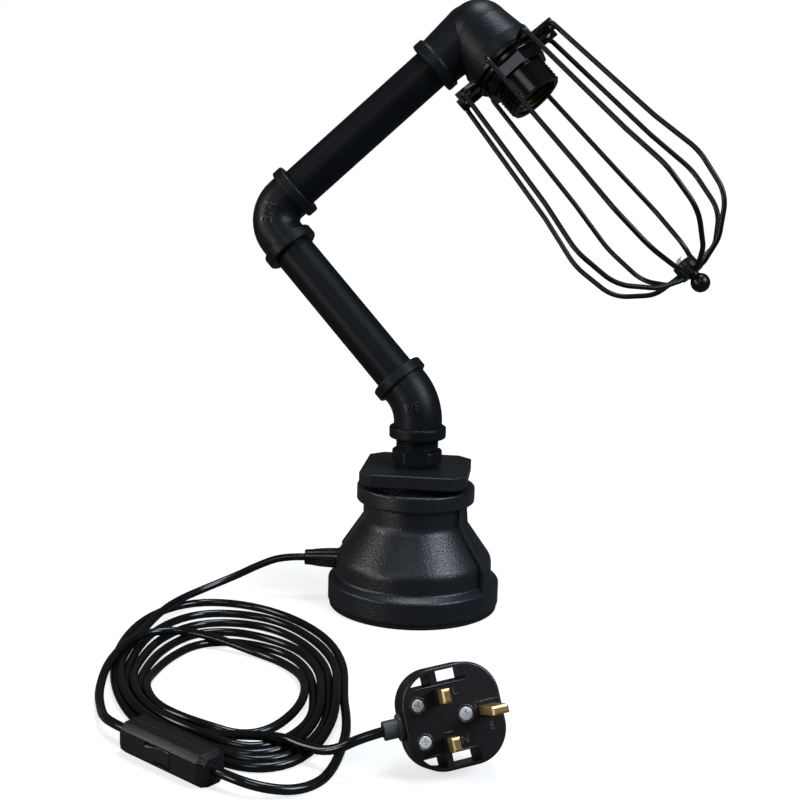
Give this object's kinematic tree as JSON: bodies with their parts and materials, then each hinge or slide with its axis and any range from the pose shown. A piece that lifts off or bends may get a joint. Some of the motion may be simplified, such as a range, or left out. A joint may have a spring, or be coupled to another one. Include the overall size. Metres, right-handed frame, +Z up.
{
  "type": "table lamp",
  "caption": "Industrial desk lamp of black pipe fittings with swivelling arms, a caged screw lampholder, and a flex with rocker switch and plug.",
  "frame": {"origin": "middle of the base's underside, where it stands", "axes": "+Z up, -Y towards the viewer, +X towards the side the lampholder reaches over"},
  "size_m": [0.3578, 0.349, 0.3883],
  "materials": {
    "black_casting": "satin black paint on a sand-cast skin",
    "black_pipe": "smooth satin black paint",
    "black_wire": "semi-gloss black paint",
    "nickel": "nickel plated",
    "holder_plastic": "black thermoset, half gloss",
    "ceramic": "unglazed ceramic look",
    "brass": "polished",
    "flex_black": "black PVC sheath",
    "switch_plastic": "fine matt black",
    "rocker_plastic": "half gloss black",
    "plug_plastic": "fine matt black",
    "grommet_grey": "matt grey",
    "pad_rubber": "matt"
  },
  "bodies": {
    "base": {"reducing_socket": "black_casting", "base_pad": "pad_rubber", "reducing_bushing": "black_casting", "cord_gland": "flex_black", "earth_tag": "nickel", "earth_screw": "nickel", "inner_cable_base": "flex_black", "flex_lead": "flex_black", "flex_coil": "flex_black", "flex_to_switch": "flex_black", "flex_from_switch": "flex_black", "flex_to_plug": "flex_black", "switch_front": "switch_plastic", "switch_back": "switch_plastic", "switch_pivot_pin": "nickel", "switch_contacts": "brass", "switch_screws": "nickel", "plug_flex_end": "flex_black", "plug_base": "plug_plastic", "plug_cover": "plug_plastic", "plug_live_pins": "brass", "plug_pin_sleeves": "plug_plastic", "plug_earth_pin": "brass", "plug_screws": "nickel", "plug_grommet": "grommet_grey", "plug_clamp_bar": "plug_plastic", "plug_fuse": "ceramic", "plug_fuse_clips": "nickel"},
    "arm": {"hex_nipple": "black_casting", "foot_elbow": "black_casting", "inner_cable_arm": "flex_black"},
    "forearm": {"lower_pipe": "black_pipe", "middle_elbow": "black_casting", "upper_pipe": "black_pipe", "inner_cable_forearm": "flex_black"},
    "head": {"head_elbow": "black_casting", "holder_adapter": "black_pipe", "holder_stud": "nickel", "holder_locknut": "nickel", "holder_cap": "holder_plastic", "holder_skirt": "holder_plastic", "holder_core": "ceramic", "holder_terminal_screws": "nickel", "holder_screw_shell": "brass", "holder_centre_contact": "brass", "cage_front": "black_wire", "cage_back": "black_wire", "cage_clamp_screws": "nickel", "cage_clamp_nuts": "nickel", "cage_tip_nut": "nickel", "inner_cable_head": "flex_black"},
    "knob": {"ball_knob": "black_wire"},
    "rocker": {"switch_rocker": "rocker_plastic"}
  },
  "joints": [
    {"name": "arm_swivel", "type": "hinge", "parent": "base", "child": "arm", "pos_m": [0, 0, 0.088], "axis": [0, 0, 1], "range_deg": [-90, 90]},
    {"name": "forearm_turn", "type": "hinge", "parent": "arm", "child": "forearm", "pos_m": [0, 0, 0.1338], "axis": [-0.6556, 0.2649, 0.7071], "range_deg": [-50, 50]},
    {"name": "head_turn", "type": "hinge", "parent": "forearm", "child": "head", "pos_m": [0.02888, 0.04229, 0.3696], "axis": [0.7335, 0.0009, 0.6797], "range_deg": [-90, 90]},
    {"name": "knob_turn", "type": "hinge", "parent": "head", "child": "knob", "pos_m": [0.04835, 0.03334, 0.3486], "axis": [0.649, -0.2984, -0.6999], "continuous": true},
    {"name": "switch_rock", "type": "hinge", "parent": "base", "child": "rocker", "pos_m": [-0.11418, -0.25187, 0.008], "axis": [0, 0, 1], "range_deg": [-16, 0]}
  ]
}
